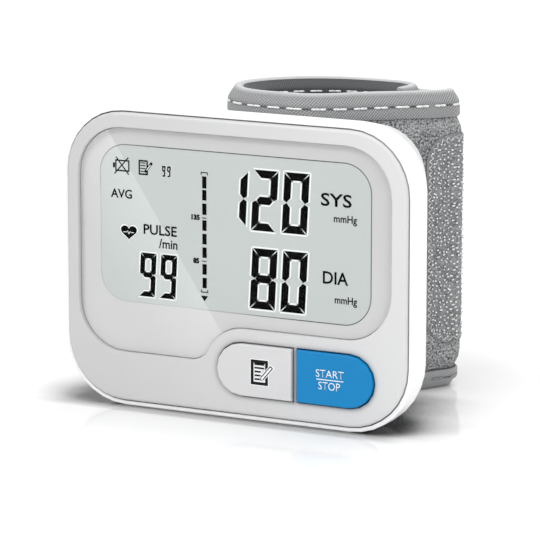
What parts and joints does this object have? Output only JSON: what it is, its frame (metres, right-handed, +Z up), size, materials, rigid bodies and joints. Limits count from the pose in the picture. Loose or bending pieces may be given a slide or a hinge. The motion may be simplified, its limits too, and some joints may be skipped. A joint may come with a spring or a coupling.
{
  "type": "wrist blood pressure monitor",
  "caption": "Wrist-worn blood pressure monitor: a rounded display unit with keys, a battery bay and an air pump, on a padded strap cuff closed behind it.",
  "frame": {"origin": "on the flat strip of the housing's underside, midway across the housing's width", "axes": "+Z up, the display faces -Y, +X to the viewer's right"},
  "size_m": [0.0864, 0.0739, 0.0703],
  "materials": {
    "bezel_grey": "fine satin light grey",
    "shell_white": "smooth satin white",
    "lens": "clear acrylic over a pale printed border",
    "display": "grey-green liquid crystal display",
    "inner_white": "moulded, unpainted",
    "chip_black": "moulded black",
    "key_grey": "satin light grey",
    "key_blue": "satin bright blue",
    "board": "solder mask",
    "cell_sleeve": "plain sleeve",
    "steel": "plated",
    "hose": "silicone",
    "cuff_cloth": "brushed loop cloth",
    "lining": "smooth woven lining",
    "bladder": "thin welded sheet",
    "foam": "foam sheet",
    "binding_tape": "twill binding tape",
    "hook_tape": "hook tape"
  },
  "bodies": {
    "housing": {"front_bezel": "bezel_grey", "rear_shell": "shell_white", "display_lens": "lens", "lcd_panel": "display", "lcd_holder": "inner_white", "lcd_contact_strip": "chip_black", "memory_switch": "chip_black", "start_stop_switch": "chip_black", "circuit_board": "board", "control_chip": "chip_black", "pressure_sensor": "chip_black", "battery_1": "cell_sleeve", "battery_2": "cell_sleeve", "battery_bridge_contact": "steel", "battery_plus_contact": "steel", "battery_minus_contact": "steel", "pump_motor": "steel", "pump_head": "inner_white", "air_block": "inner_white", "pump_hose": "hose", "valve_hose": "hose", "sensor_hose": "hose", "release_valve": "steel", "cuff_carrier": "shell_white", "cuff_cover": "cuff_cloth", "cuff_lining": "lining", "cuff_stiffener": "inner_white", "air_bladder": "bladder", "strap_foam": "foam", "cuff_top_tape": "binding_tape", "cuff_bottom_tape": "binding_tape", "cuff_end_tape": "binding_tape", "hook_patch": "hook_tape", "case_screw_1": "steel", "case_screw_2": "steel", "case_screw_3": "steel", "case_screw_4": "steel", "carrier_screw_1": "steel", "carrier_screw_2": "steel"},
    "memory_key": {"memory_key": "key_grey"},
    "start_key": {"start_stop_key": "key_blue"},
    "memory_stem": {"memory_switch_stem": "inner_white"},
    "start_stem": {"start_stop_switch_stem": "inner_white"},
    "battery_cover": {"battery_door": "shell_white"},
    "pump_rotor": {"pump_crankshaft": "steel"},
    "valve_armature": {"valve_rod": "steel"},
    "cuff_tail": {"tail_cover": "cuff_cloth", "tail_lining": "lining", "tail_foam": "foam", "tail_top_tape": "binding_tape", "tail_bottom_tape": "binding_tape", "tail_end_tape": "binding_tape", "tail_hook_pad": "hook_tape"}
  },
  "joints": [
    {"name": "memory_key_press", "type": "slide", "parent": "housing", "child": "memory_key", "axis": [0, 1, 0], "range_m": [0, 0.0006], "stiffness_N_per_m": 800},
    {"name": "start_stop_key_press", "type": "slide", "parent": "housing", "child": "start_key", "axis": [0, 1, 0], "range_m": [0, 0.0006], "stiffness_N_per_m": 800},
    {"name": "memory_stem_press", "type": "slide", "parent": "housing", "child": "memory_stem", "axis": [0, 1, 0], "range_m": [0, 0.0006]},
    {"name": "start_stop_stem_press", "type": "slide", "parent": "housing", "child": "start_stem", "axis": [0, 1, 0], "range_m": [0, 0.0006]},
    {"name": "battery_door_slide", "type": "slide", "parent": "housing", "child": "battery_cover", "axis": [-1, 0, 0], "range_m": [0, 0.034]},
    {"name": "pump_shaft_turn", "type": "hinge", "parent": "housing", "child": "pump_rotor", "pos_m": [0.027, 0.0102, 0.04], "axis": [0, 0, 1], "continuous": true},
    {"name": "valve_rod_slide", "type": "slide", "parent": "housing", "child": "valve_armature", "axis": [0, 0, 1], "range_m": [-0.0008, 0], "stiffness_N_per_m": 200, "springref_m": 0.0002},
    {"name": "strap_fold_open", "type": "hinge", "parent": "housing", "child": "cuff_tail", "pos_m": [0.03099, 0.04777, 0.035], "axis": [0, 0, -1], "range_deg": [0, 110]}
  ],
  "couplings": [
    {"joint": "memory_stem_press", "follows": "memory_key_press", "ratio": 1},
    {"joint": "start_stop_stem_press", "follows": "start_stop_key_press", "ratio": 1}
  ]
}
